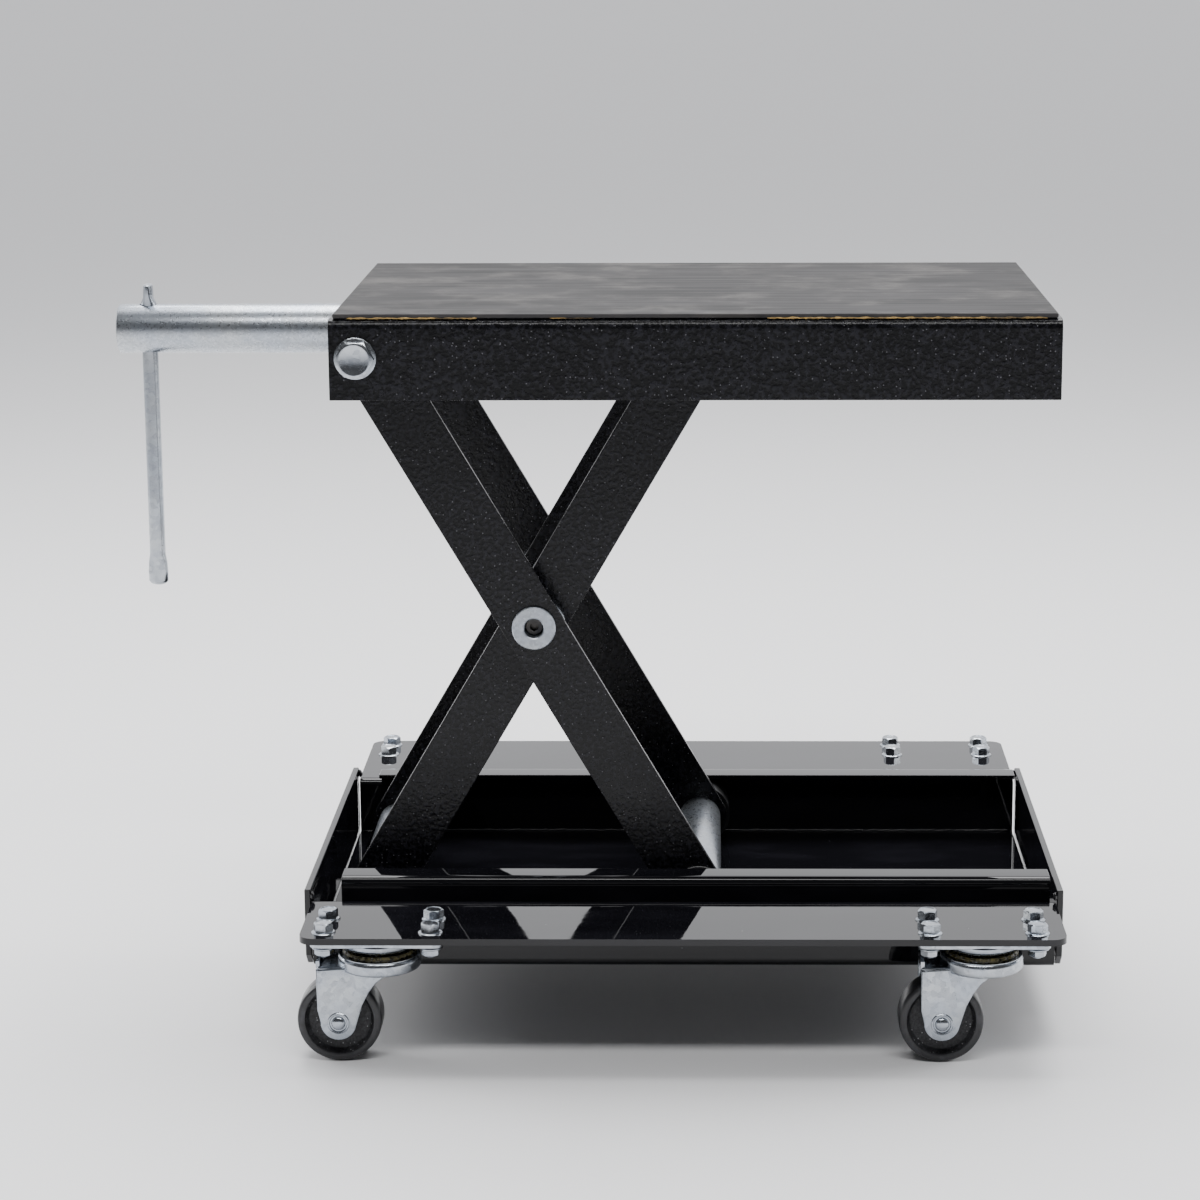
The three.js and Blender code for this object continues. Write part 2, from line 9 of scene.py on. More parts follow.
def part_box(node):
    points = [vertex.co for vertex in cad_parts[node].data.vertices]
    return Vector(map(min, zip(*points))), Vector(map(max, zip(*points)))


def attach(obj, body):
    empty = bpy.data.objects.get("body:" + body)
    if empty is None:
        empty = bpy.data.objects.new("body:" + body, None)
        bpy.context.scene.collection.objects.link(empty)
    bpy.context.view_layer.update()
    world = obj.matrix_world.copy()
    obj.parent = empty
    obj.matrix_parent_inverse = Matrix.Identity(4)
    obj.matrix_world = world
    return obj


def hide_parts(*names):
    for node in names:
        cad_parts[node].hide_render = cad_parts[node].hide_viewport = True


bl_info = {
    "name": "Scissor jack finish",
    "version": (1, 0, 0),
    "blender": (4, 5, 0),
    "location": "3D View > Sidebar > Jack",
    "description": "Fine pieces, paints and a stage for a scissor jack on a caster dolly",
    "category": "Object",
}

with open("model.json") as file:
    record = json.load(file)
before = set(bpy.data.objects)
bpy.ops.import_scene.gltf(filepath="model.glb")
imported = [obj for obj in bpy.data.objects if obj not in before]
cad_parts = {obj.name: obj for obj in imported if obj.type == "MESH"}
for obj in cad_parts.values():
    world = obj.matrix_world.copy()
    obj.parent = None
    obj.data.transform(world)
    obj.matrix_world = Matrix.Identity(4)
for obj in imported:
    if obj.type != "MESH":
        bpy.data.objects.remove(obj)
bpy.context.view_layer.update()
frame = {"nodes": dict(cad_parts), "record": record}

MM = 0.001
CASTERS = [f"{side}_{end}" for side in ("front", "rear") for end in ("left", "right")]
BEHAVIOUR = frame["record"]["behaviour"]
BODY_OF = {node: body for body, nodes in BEHAVIOUR["bodies"].items() for node in nodes}
SLOT_OF = {part["node"]: part["material_slot"] for part in frame["record"]["subparts"]}
JOINT_AT = {joint["name"]: joint.get("pos_m") for joint in BEHAVIOUR["joints"]}
X_AXIS, Y_AXIS, Z_AXIS = Vector((1, 0, 0)), Vector((0, 1, 0)), Vector((0, 0, 1))


def middle(node):
    """The middle of a CAD node's box."""
    low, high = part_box(node)
    return (Vector(low) + Vector(high)) / 2


def extent(node):
    """The size of a CAD node's box."""
    low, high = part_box(node)
    return Vector(high) - Vector(low)


# ---- Sizes and colours a user may change --------------------------------------------------


class JackSizes(bpy.types.PropertyGroup):
    """Sizes of the finishing details."""

    sheet_edge: bpy.props.FloatProperty(
        name="Sheet edge", description="Rounding of cut sheet edges", default=0.6 * MM, unit="LENGTH")
    fold_radius: bpy.props.FloatProperty(
        name="Deck fold", description="Outer radius of the deck's two folds", default=5.0 * MM, unit="LENGTH")
    pad_edge: bpy.props.FloatProperty(
        name="Pad edge", description="Rounding of the rubber pad", default=0.9 * MM, unit="LENGTH")
    weld_width: bpy.props.FloatProperty(
        name="Weld width", description="Width of a weld bead", default=2.6 * MM, unit="LENGTH")
    glue_width: bpy.props.FloatProperty(
        name="Glue width", description="Width of the glue squeezed out under the pad", default=1.0 * MM, unit="LENGTH")
    thread_pitch: bpy.props.FloatProperty(
        name="Thread pitch", description="Pitch of the lead screw", default=4.0 * MM, unit="LENGTH")
    round_steps: bpy.props.IntProperty(
        name="Round steps", description="Steps round a turned piece", default=72, min=16, max=256)


class JackColours(bpy.types.PropertyGroup):
    """Base colours of the finishes, as linear values."""

    paint: bpy.props.FloatVectorProperty(
        name="Paint", description="Black paint", subtype="COLOR", default=(0.0045, 0.0045, 0.006))
    rubber: bpy.props.FloatVectorProperty(
        name="Rubber", description="Rubber pad", subtype="COLOR", default=(0.021, 0.020, 0.021))
    zinc: bpy.props.FloatVectorProperty(
        name="Zinc", description="Zinc plating", subtype="COLOR", default=(0.46, 0.50, 0.56))
    iron: bpy.props.FloatVectorProperty(
        name="Iron", description="Painted cast iron", subtype="COLOR", default=(0.016, 0.016, 0.018))
    glue: bpy.props.FloatVectorProperty(
        name="Glue", description="Dried adhesive", subtype="COLOR", default=(0.30, 0.19, 0.055))
    grease: bpy.props.FloatVectorProperty(
        name="Grease", description="Grease on the ball races", subtype="COLOR", default=(0.055, 0.045, 0.012))


class StageSettings(bpy.types.PropertyGroup):
    """The camera, the floor and the lights."""

    focal: bpy.props.FloatProperty(
        name="Focal length", description="Lens in millimetres on a 36 mm frame", default=96.57)
    pitch: bpy.props.FloatProperty(
        name="Pitch", description="Downward tilt", default=math.radians(12.45), subtype="ANGLE")
    yaw: bpy.props.FloatProperty(
        name="Yaw", description="Turn to the left", default=math.radians(0.85), subtype="ANGLE")
    roll: bpy.props.FloatProperty(
        name="Roll", description="Turn about the view", default=math.radians(-0.18), subtype="ANGLE")
    stand: bpy.props.FloatVectorProperty(
        name="Stand", description="Camera's place", default=(0.0773, -2.0358, 0.6859), subtype="TRANSLATION")
    shift: bpy.props.FloatProperty(
        name="Shift", description="Sideways lens shift", default=-0.05)
    floor: bpy.props.FloatVectorProperty(
        name="Floor", description="Floor colour", subtype="COLOR", default=(0.86, 0.86, 0.87))
    backdrop: bpy.props.FloatProperty(
        name="Backdrop", description="Brightness of the room behind the jack", default=1.6)
    room: bpy.props.FloatProperty(
        name="Room", description="Brightness of the room in front of the jack", default=0.10)
    key: bpy.props.FloatProperty(
        name="Key light", description="Power of the large light overhead", default=76.0, unit="POWER")
    side: bpy.props.FloatProperty(
        name="Side lights", description="Power of each side light", default=16.0, unit="POWER")
    strip: bpy.props.FloatProperty(
        name="Strip light", description="Power of the narrow light above the front", default=14.0, unit="POWER")


# ---- Shader arithmetic --------------------------------------------------------------------


class Wire:
    """A number that varies over a surface: arithmetic on it adds Math nodes."""

    def __init__(self, paint, socket):
        self.paint = paint
        self.socket = socket

    def maths(self, operation, *values):
        sockets = dict(enumerate(values))
        return self.paint.node("ShaderNodeMath", {"operation": operation}, sockets)

    def __add__(self, other):
        return self.maths("ADD", self, other)

    __radd__ = __add__

    def __mul__(self, other):
        return self.maths("MULTIPLY", self, other)

    __rmul__ = __mul__

    def __sub__(self, other):
        return self.maths("SUBTRACT", self, other)

    def __rsub__(self, other):
        return self.maths("SUBTRACT", other, self)

    def __gt__(self, other):
        return self.maths("GREATER_THAN", self, other)

    def __lt__(self, other):
        return self.maths("LESS_THAN", self, other)

    def between(self, low, high):
        """0 at low, 1 at high, smooth in between."""
        settings = {"interpolation_type": "SMOOTHSTEP"}
        return self.paint.node("ShaderNodeMapRange", settings, {"Value": self, "From Min": low, "From Max": high})


class Paint:
    """One material, built from wires."""

    def __init__(self, name):
        self.material = bpy.data.materials.new(name)
        self.material.use_nodes = True
        self.tree = self.material.node_tree
        self.tree.nodes.clear()
        self.place = self.node("ShaderNodeTexCoord", output="Object")

    def node(self, kind, settings=None, sockets=None, output=0):
        """Adds a node, sets it, then sets or links its sockets. A ramp's stops are among its settings."""
        node = self.tree.nodes.new(kind)
        for name, value in (settings or {}).items():
            if name == "stops":
                ramp = node.color_ramp.elements
                while len(ramp) < len(value):
                    ramp.new(0.5)
                for stop, (position, colour) in zip(ramp, value):
                    stop.position = position
                    stop.color = (*colour, 1)
            else:
                setattr(node, name, value)
        for name, value in (sockets or {}).items():
            socket = node.inputs[name]
            if isinstance(value, Wire):
                self.tree.links.new(value.socket, socket)
            elif hasattr(socket.default_value, "__len__") and len(socket.default_value) == 4:
                socket.default_value = (*value[:3], 1)
            else:
                socket.default_value = value
        return Wire(self, node.outputs[output])

    def stretched(self, x, y, z):
        """The surface's place, scaled differently along each axis."""
        return self.node("ShaderNodeMapping", None, {"Vector": self.place, "Scale": (x, y, z)})

    def grain(self, size, detail=2.0, place=None, rough=0.5):
        """Noise with features of about this size in metres."""
        sockets = {"Vector": place or self.place, "Scale": 1 / size, "Detail": detail, "Roughness": rough}
        return self.node("ShaderNodeTexNoise", None, sockets)

    def cells(self, size, output="Distance"):
        """Voronoi cells of about this size in metres."""
        return self.node("ShaderNodeTexVoronoi", None, {"Vector": self.place, "Scale": 1 / size}, output)

    def blend(self, mask, low, high):
        """A colour between two colours."""
        return self.node("ShaderNodeMix", {"data_type": "RGBA"}, {0: mask, 6: low, 7: high}, 2)

    def bumps(self, height, strength, distance, under=None):
        """A surface normal that follows a height."""
        sockets = {"Height": height, "Strength": strength, "Distance": distance}
        if under:
            sockets["Normal"] = under
        return self.node("ShaderNodeBump", None, sockets)

    def finish(self, colour, roughness, normal=None, constants=None):
        """Connects the surface, with every other socket a plain constant."""
        sockets = {"Base Color": colour, "Roughness": roughness, **(constants or {})}
        if normal:
            sockets["Normal"] = normal
        surface = self.node("ShaderNodeBsdfPrincipled", None, sockets)
        self.node_output(surface)
        return self.material

    def node_output(self, surface):
        output = self.tree.nodes.new("ShaderNodeOutputMaterial")
        self.tree.links.new(surface.socket, output.inputs["Surface"])


def shade(colour, factor):
    """A colour made lighter or darker."""
    return tuple(value * factor for value in colour[:3])


def dust_and_glints(paint, spacing, size, share):
    """A mask of small specks, on a share of the cells: real dust on some finishes, painted glints on others."""
    chosen = paint.node("ShaderNodeSeparateColor", None, {"Color": paint.cells(spacing, "Color")}) > 1 - share
    return chosen * (paint.cells(spacing) < size / spacing)


def gloss_paint(colour):
    """Glossy black enamel: nearly a mirror, with a slow wave, faint smears and a few specks."""
    paint = Paint("gloss_black_paint")
    smear = paint.grain(60 * MM, 3, paint.stretched(1, 2.5, 2.5)).between(0.42, 0.7)
    specks = dust_and_glints(paint, 9 * MM, 0.35 * MM, 0.10)
    wave = paint.grain(9 * MM, 1)
    peel = paint.grain(2.2 * MM, 2)
    tone = paint.blend(smear, colour, shade(colour, 1.7))
    tone = paint.blend(specks * 0.8, tone, (0.22, 0.22, 0.24))
    normal = paint.bumps(wave + peel * 0.10, 0.035, 0.30 * MM)
    return paint.finish(tone, smear * 0.03 + specks * 0.4 + 0.018, normal, {"Specular IOR Level": 0.4})


def satin_paint(colour):
    """Powder coat: fine orange peel, painted lighter on its crests and darker in its hollows as painted light and
    shade, with a tiny sparkle painted in as pale specks (painted glints), rubbed a little smoother in places.
    """
    paint = Paint("satin_black_paint")
    rubbed = paint.grain(35 * MM, 4).between(0.35, 0.75)
    peel = paint.grain(2.6 * MM, 2.5, rough=0.55)
    # Painted glints: pale grey, rougher specks stand in for the sparkle of light on the powder coat.
    specks = dust_and_glints(paint, 2.6 * MM, 0.42 * MM, 0.4)
    # Painted light and shade: the tone follows the same peel as the bumps, lighter on crests, darker in hollows.
    tone = paint.blend(peel.between(0.46, 0.62), shade(colour, 0.5), shade(colour, 2.4))
    tone = paint.blend(specks, tone, (0.09, 0.09, 0.10))
    normal = paint.bumps(peel, 1.0, 0.30 * MM)
    rough = 0.25 - rubbed * 0.08 + peel * 0.06 + specks * 0.2
    return paint.finish(tone, rough, normal, {"Specular IOR Level": 0.25})


def pad_rubber(colour):
    """Dull rubber with faint lengthwise streaks, smudges and dust."""
    paint = Paint("rubber_pad")
    streak = paint.grain(4.5 * MM, 4, paint.stretched(0.035, 1, 1))
    fine = paint.grain(1.3 * MM, 3, paint.stretched(0.05, 1, 1))
    smudge = paint.grain(48 * MM, 5, rough=0.62).between(0.44, 0.78)
    specks = dust_and_glints(paint, 7 * MM, 0.4 * MM, 0.10)
    tone = paint.blend(streak.between(0.40, 0.62), shade(colour, 0.45), shade(colour, 1.7))
    tone = paint.blend(smudge * 0.75, tone, (0.060, 0.054, 0.050))
    tone = paint.blend(specks * 0.7, tone, (0.14, 0.135, 0.13))
    normal = paint.bumps(streak * 0.6 + fine * 0.4, 0.35, 0.12 * MM)
    return paint.finish(tone, 0.66 - smudge * 0.16 + fine * 0.12, normal, {"Specular IOR Level": 0.25})


def zinc(name, colour, spangle, rough, sheen=1.0):
    """Bright zinc plate: crystals of slightly different tone, blue and straw tints and fine pits."""
    paint = Paint(name)
    crystal = paint.node("ShaderNodeSeparateColor", None, {"Color": paint.cells(spangle, "Color")})
    fine = paint.grain(0.7 * MM, 4, rough=0.7)
    tint = paint.grain(26 * MM, 3).between(0.35, 0.68)
    tone = paint.blend(tint, shade(colour, 0.93 * sheen), tuple(c * f for c, f in zip(colour, (1.06, 1.02, 0.95))))
    tone = paint.blend(crystal * 0.45 + fine.between(0.5, 0.8) * 0.4, tone, shade(colour, 0.55))
    normal = paint.bumps(fine + crystal * 0.6, 0.28, 0.12 * MM)
    return paint.finish(tone, crystal * 0.10 + fine * 0.12 + rough, normal, {"Metallic": 1.0})


def cast_iron(colour):
    """A black painted casting: pebbly, painted lighter on the lumps' crests as painted light and shade, with bright
    specks painted in as glints of light.
    """
    paint = Paint("cast_iron")
    pebble = paint.cells(1.1 * MM)
    lump = paint.grain(1.6 * MM, 4, rough=0.65)
    # Painted glints: bright specks stand in for light sparkling on the rough casting.
    painted_glints = dust_and_glints(paint, 2.2 * MM, 0.42 * MM, 0.4)
    # Painted light and shade: the tone follows the same lumps as the bumps, lighter on their crests.
    tone = paint.blend(lump.between(0.35, 0.7), shade(colour, 0.6), shade(colour, 2.6))
    tone = paint.blend(painted_glints * 0.8, tone, (0.30, 0.30, 0.31))
    normal = paint.bumps(lump + pebble * 0.7, 0.75, 0.35 * MM)
    return paint.finish(tone, lump * 0.2 + 0.42, normal)


def wheel_tread(colour):
    """The wheel's painted rim: smoother than the web, dull where it rolls."""
    paint = Paint("wheel_rim")
    lump = paint.grain(1.2 * MM, 3)
    scuff = paint.grain(9 * MM, 4).between(0.45, 0.72)
    tone = paint.blend(scuff, shade(colour, 1.3), shade(colour, 3.4))
    return paint.finish(tone, 0.30 + scuff * 0.2, paint.bumps(lump, 0.35, 0.2 * MM))


def plain_steel():
    """Oiled black steel, hidden under the deck."""
    paint = Paint("black_steel")
    film = paint.grain(14 * MM, 4).between(0.4, 0.7)
    tone = paint.blend(film, (0.035, 0.035, 0.038), (0.09, 0.085, 0.08))
    normal = paint.bumps(paint.grain(0.8 * MM, 3), 0.2, 0.1 * MM)
    return paint.finish(tone, 0.34 + film * 0.14, normal, {"Metallic": 1.0})


def nylon():
    """Black nylon with a moulded bloom."""
    paint = Paint("black_nylon")
    bloom = paint.grain(7 * MM, 4).between(0.4, 0.75)
    tone = paint.blend(bloom, (0.008, 0.008, 0.009), (0.026, 0.026, 0.028))
    return paint.finish(tone, 0.36 + bloom * 0.16, paint.bumps(paint.grain(0.9 * MM, 3), 0.2, 0.15 * MM))


def dried_glue(colour):
    """Amber adhesive, dark where it is thick and straw where it has frayed."""
    paint = Paint("dried_glue")
    mottle = paint.grain(5 * MM, 5, paint.stretched(0.4, 1, 1), 0.7).between(0.36, 0.66)
    tone = paint.blend(mottle, shade(colour, 0.22), shade(colour, 1.5))
    return paint.finish(tone, 0.42, paint.bumps(paint.grain(0.9 * MM, 3), 0.6, 0.3 * MM))


def race_grease(colour):
    """Old grease round the balls: olive, with darker and brighter patches."""
    paint = Paint("race_grease")
    patch = paint.grain(2.4 * MM, 4, rough=0.7).between(0.38, 0.66)
    tone = paint.blend(patch, shade(colour, 0.25), shade(colour, 1.6))
    return paint.finish(tone, 0.24 + patch * 0.2, paint.bumps(patch, 0.5, 0.2 * MM))


def weld_paint(colour):
    """A painted weld: the same gloss paint over ripples, with the ripples' crests painted up to five times lighter as
    painted highlights.
    """
    paint = Paint("painted_weld")
    ripple = paint.grain(1.5 * MM, 4, rough=0.7)
    # Painted highlights: the tone follows the ripples' height, lighter on their crests.
    tone = paint.blend(ripple.between(0.45, 0.7), colour, shade(colour, 5.0))
    return paint.finish(tone, 0.16 + ripple * 0.12, paint.bumps(ripple, 0.8, 0.4 * MM),
                        {"Specular IOR Level": 0.7})


# ---- Shaping ------------------------------------------------------------------------------


def settle(bm, name, finish, sharp=35, keep_normals=False):
    """Closes a bmesh's doubles, turns its faces outwards and makes it an object."""
    bmesh.ops.remove_doubles(bm, verts=bm.verts, dist=1e-6)
    if not keep_normals:
        bmesh.ops.recalc_face_normals(bm, faces=bm.faces)
    mesh = bpy.data.meshes.new(name)
    bm.to_mesh(mesh)
    bm.free()
    mesh.shade_smooth()
    mesh.set_sharp_from_angle(angle=math.radians(sharp))
    for material in finish if isinstance(finish, (list, tuple)) else [finish]:
        mesh.materials.append(material)
    piece = bpy.data.objects.new(name, mesh)
    bpy.context.scene.collection.objects.link(piece)
    return piece


def stands_for(piece, node):
    """The piece replaces a CAD node and takes its body."""
    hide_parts(node)
    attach(piece, BODY_OF[node])


def added(piece, body):
    """A piece that the CAD model leaves out."""
    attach(piece, body)


def frame_towards(axis, centre):
    """A matrix that takes Z to an axis and the origin to a centre."""
    turn = Z_AXIS.rotation_difference(axis).to_matrix().to_4x4()
    return Matrix.Translation(centre) @ turn


def merge(bm, part, matrix):
    """Adds one bmesh to another at a place."""
    bmesh.ops.transform(part, matrix=matrix, verts=part.verts)
    mesh = bpy.data.meshes.new("part")
    part.to_mesh(mesh)
    part.free()
    bm.from_mesh(mesh)
    bpy.data.meshes.remove(mesh)


def spun(profile, steps, soften=0.0):
    """A turned solid about Z from (radius, height) points. Hard edges are softened by a small bevel."""
    bm = bmesh.new()
    points = [bm.verts.new((radius, 0, height)) for radius, height in profile]
    edges = [bm.edges.new(pair) for pair in zip(points, points[1:])]
    if profile[0][0] > 0:
        edges.append(bm.edges.new((points[-1], points[0])))
    bmesh.ops.spin(
        bm, geom=points + edges, cent=(0, 0, 0), axis=Z_AXIS, angle=math.tau, steps=steps, use_merge=True)
    bmesh.ops.remove_doubles(bm, verts=bm.verts, dist=1e-6)
    bmesh.ops.recalc_face_normals(bm, faces=bm.faces)
    if soften:
        bevel_hard_edges(bm, soften, 40)
    return bm


def bevel_hard_edges(bm, width, angle, segments=2):
    """Bevels each edge whose faces meet at more than an angle in degrees."""
    hard = [e for e in bm.edges if len(e.link_faces) == 2 and e.calc_face_angle(0) > math.radians(angle)]
    bmesh.ops.bevel(
        bm, geom=hard, offset=width, offset_type="OFFSET", affect="EDGES", segments=segments,
        profile=0.5, material=-1, clamp_overlap=True)


def hex_head(flats, height, steps=8, dish=0.3 * MM):
    """A hexagon head on Z = 0: straight sides, corners chamfered by a cone, a slightly sunk top."""
    bm = bmesh.new()
    half = flats / 2
    ring = bmesh.ops.create_circle(bm, cap_ends=False, radius=half, segments=6 * steps)["verts"]
    for vert in ring:
        turn = math.atan2(vert.co.y, vert.co.x) % (math.pi / 3) - math.pi / 6
        vert.co *= 1 / math.cos(turn)
    base = [e for e in bm.edges]
    bmesh.ops.contextual_create(bm, geom=base)
    sides = bmesh.ops.extrude_edge_only(bm, edges=base)["geom"]
    rim = [v for v in sides if isinstance(v, bmesh.types.BMVert)]
    for vert in rim:
        corner = vert.co.xy.length - half
        vert.co.z = height - dish - corner * 0.75
    top = [e for e in sides if isinstance(e, bmesh.types.BMEdge) and all(v in rim for v in e.verts)]
    for factor, level in ((0.93, height), (0.86, height), (0.80, height - dish)):
        grown = bmesh.ops.extrude_edge_only(bm, edges=top)["geom"]
        verts = [v for v in grown if isinstance(v, bmesh.types.BMVert)]
        for vert in verts:
            vert.co.xy = vert.co.xy.normalized() * half * factor
            vert.co.z = level
        top = [e for e in grown if isinstance(e, bmesh.types.BMEdge) and all(v in verts for v in e.verts)]
    bmesh.ops.contextual_create(bm, geom=top)
    return bm


def plate_from(outline, thick, soften, segments=2):
    """A flat plate on Z = 0 from a closed outline of (x, y) points, with its edges softened."""
    bm = bmesh.new()
    face = bm.faces.new([bm.verts.new((x, y, 0)) for x, y in outline])
    grown = bmesh.ops.extrude_face_region(bm, geom=[face])["geom"]
    bmesh.ops.translate(bm, vec=(0, 0, thick), verts=[v for v in grown if isinstance(v, bmesh.types.BMVert)])
    bmesh.ops.recalc_face_normals(bm, faces=bm.faces)
    rims = [e for e in bm.edges if any(len(f.verts) > 4 for f in e.link_faces)]
    bmesh.ops.bevel(
        bm, geom=rims, offset=soften, offset_type="OFFSET", affect="EDGES", segments=segments,
        profile=0.5, material=-1, clamp_overlap=True)
    return bm


def arc(centre, radius, start, end, steps):
    """Points on an arc, in degrees."""
    turns = [math.radians(start + (end - start) * i / steps) for i in range(steps + 1)]
    return [(centre[0] + radius * math.cos(t), centre[1] + radius * math.sin(t)) for t in turns]


def eased(node, finish, width, angle=50, segments=3):
    """A copy of a CAD node with merged faces and softened edges, which replaces it."""
    bm = bmesh.new()
    bm.from_mesh(frame["nodes"][node].data)
    bmesh.ops.remove_doubles(bm, verts=bm.verts, dist=1e-6)
    bmesh.ops.dissolve_limit(bm, angle_limit=math.radians(0.5), verts=bm.verts, edges=bm.edges)
    bevel_hard_edges(bm, width, angle, segments)
    piece = settle(bm, node + "_shell", finish, keep_normals=True)
    flat = piece.modifiers.new("flat faces", "WEIGHTED_NORMAL")
    flat.keep_sharp = True
    stands_for(piece, node)
    return piece


def wobble(turn):
    """A smooth, uneven swing between -1 and 1."""
    return (math.sin(turn) + math.sin(2.3 * turn + 1.1) + math.sin(5.1 * turn + 2.7)) / 3


def bead(name, points, radius, finish, body, wander=0.5, sides=8, seed=0):
    """A lumpy bead along a line: rings joined in turn, each a little off and of its own size."""
    bm = bmesh.new()
    rings = []
    for i, point in enumerate(points):
        ahead = points[min(i + 1, len(points) - 1)] - points[max(i - 1, 0)]
        turn = i * 1.1 + seed
        size = radius * (0.85 + wander * 0.6 * wobble(turn))
        if i in (0, len(points) - 1):
            size *= 0.35
        place = frame_towards(ahead.normalized(), point + Vector([wobble(turn + shift) for shift in (7, 19, 31)]) * radius * wander * 0.4)
        ring = bmesh.ops.create_circle(bm, cap_ends=i in (0, len(points) - 1), radius=size, segments=sides, matrix=place)
        rings.append(dict.fromkeys(e for v in ring["verts"] for e in v.link_edges))
    for near, far in zip(rings, rings[1:]):
        bmesh.ops.bridge_loops(bm, edges=[e for e in near | far if e.is_valid and len(e.link_faces) < 2])
    piece = settle(bm, name, finish, sharp=80)
    added(piece, body)
    return piece


def line(start, end, step):
    """Evenly spaced points on a straight line."""
    start, end = Vector(start), Vector(end)
    count = max(2, round((end - start).length / step))
    return [start.lerp(end, i / count) for i in range(count + 1)]


# ---- Finishes -----------------------------------------------------------------------------


class JACK_OT_finishes(bpy.types.Operator):
    """Make every paint, plating and rubber, and give each CAD node its own"""

    bl_idname = "jack.finishes"
    bl_label = "Finishes"

    def execute(self, context):
        for plain in bpy.data.materials:
            plain.name = f"plain_{plain.name}"
        colours = context.scene.jack_colours
        made = {
            "gloss_black_paint": gloss_paint(colours.paint),
            "satin_black_paint": satin_paint(colours.paint),
            "rubber": pad_rubber(colours.rubber),
            "zinc_plate": zinc("zinc_plate", colours.zinc, 3.0 * MM, 0.11),
            "black_steel": plain_steel(),
            "cast_iron": cast_iron(colours.iron),
            "black_nylon": nylon(),
        }
        zinc("spangled_zinc", colours.zinc, 1.2 * MM, 0.20)
        zinc("dull_zinc", shade(colours.zinc, 1.08), 1.6 * MM, 0.34)
        wheel_tread(colours.iron)
        dried_glue(colours.glue)
        race_grease(colours.grease)
        weld_paint(colours.paint)
        for node, piece in frame["nodes"].items():
            piece.data.materials.clear()
            piece.data.materials.append(made[SLOT_OF[node]])
        return {"FINISHED"}


def finish_of(name):
    return bpy.data.materials[name]


# ---- Dolly and base -----------------------------------------------------------------------


class JACK_OT_dolly(bpy.types.Operator):
    """Round the edges of the dolly, the end plates, the rails and the base plate"""

    bl_idname = "jack.dolly"
    bl_label = "Dolly and rails"

    def execute(self, context):
        edge = context.scene.jack_sizes.sheet_edge
        gloss = finish_of("gloss_black_paint")
        eased("dolly_tray", gloss, edge * 1.6)
        for node in ("left_end_plate", "right_end_plate", "base_plate"):
            eased(node, gloss, edge * 1.2)
        for node in ("front_rail", "rear_rail"):
            eased(node, gloss, edge)
        for side in ("front", "rear"):
            eased(f"pivot_ear_{side}", finish_of("satin_black_paint"), edge)
        return {"FINISHED"}


class JACK_OT_welds(bpy.types.Operator):
    """Lay the weld beads inside the rails and in the dolly's corners"""

    bl_idname = "jack.welds"
    bl_label = "Welds"

    def execute(self, context):
        radius = context.scene.jack_sizes.weld_width / 2
        weld = finish_of("painted_weld")
        for side, sign in (("front", 1), ("rear", -1)):
            low, high = (Vector(corner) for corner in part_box(f"{side}_rail"))
            inside = (low.y if side == "front" else high.y) + sign * 3 * MM
            foot = line((low.x + radius, inside, low.z), (high.x - radius, inside, low.z), 1.8 * MM)
            bead(f"{side}_rail_weld", foot, radius, weld, "base", seed=11 * sign)
        low, high = (Vector(corner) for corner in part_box("dolly_tray"))
        plate = {end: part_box(f"{end}_end_plate") for end in ("left", "right")}
        for end, x in (("left", low.x), ("right", high.x)):
            bottom, top = (Vector(corner) for corner in plate[end])
            for side, y in (("front", bottom.y), ("rear", top.y)):
                inward = 1 if side == "front" else -1
                corner = line((x, y + inward * radius, high.z + 1 * MM), (x, y + inward * radius, top.z - radius), 1.2 * MM)
                bead(f"corner_weld_{side}_{end}", corner, radius * 1.3, weld, "base", seed=y)
        return {"FINISHED"}


# ---- Casters ------------------------------------------------------------------------------


def rounded_box_outline(half_x, half_y, corner, steps=6):
    """The outline of a rectangle with round corners."""
    centres = [(half_x - corner, half_y - corner), (-half_x + corner, half_y - corner),
               (-half_x + corner, -half_y + corner), (half_x - corner, -half_y + corner)]
    return [p for i, c in enumerate(centres) for p in arc(c, corner, 90 * i, 90 * i + 90, steps)]


def caster_top(name, steps):
    """The top plate, the pressed race under it and the kingpin's head."""
    node = f"caster_plate_{name}"
    low, high = (Vector(corner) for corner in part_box(node))
    axis = Vector(JOINT_AT[f"swivel_{name}"])
    thick = 3 * MM
    bm = bmesh.new()
    outline = rounded_box_outline((high.x - low.x) / 2, 22 * MM, 5 * MM)
    place = Matrix.Translation((axis.x, axis.y, high.z - thick))
    merge(bm, plate_from(outline, thick, 0.7 * MM, 3), place)
    under = high.z - thick
    race = [
        (0, 0.2 * MM), (23.2 * MM, 0.2 * MM), (23.2 * MM, -0.6 * MM), (22.6 * MM, -2.2 * MM),
        (21.2 * MM, -4.0 * MM), (19.4 * MM, -5.4 * MM), (17.5 * MM, -6.0 * MM), (0, -6.0 * MM),
    ]
    merge(bm, spun(race, steps), Matrix.Translation((axis.x, axis.y, under)))
    pin_foot = low.z - under
    pin = [(0, -5 * MM), (5 * MM, -5 * MM), (5 * MM, pin_foot + 3 * MM), (8 * MM, pin_foot + 2.8 * MM),
           (7.2 * MM, pin_foot + 0.9 * MM), (4.5 * MM, pin_foot), (0, pin_foot)]
    merge(bm, spun(pin, steps // 2), Matrix.Translation((axis.x, axis.y, under)))
    stands_for(settle(bm, node + "_fine", finish_of("zinc_plate")), node)


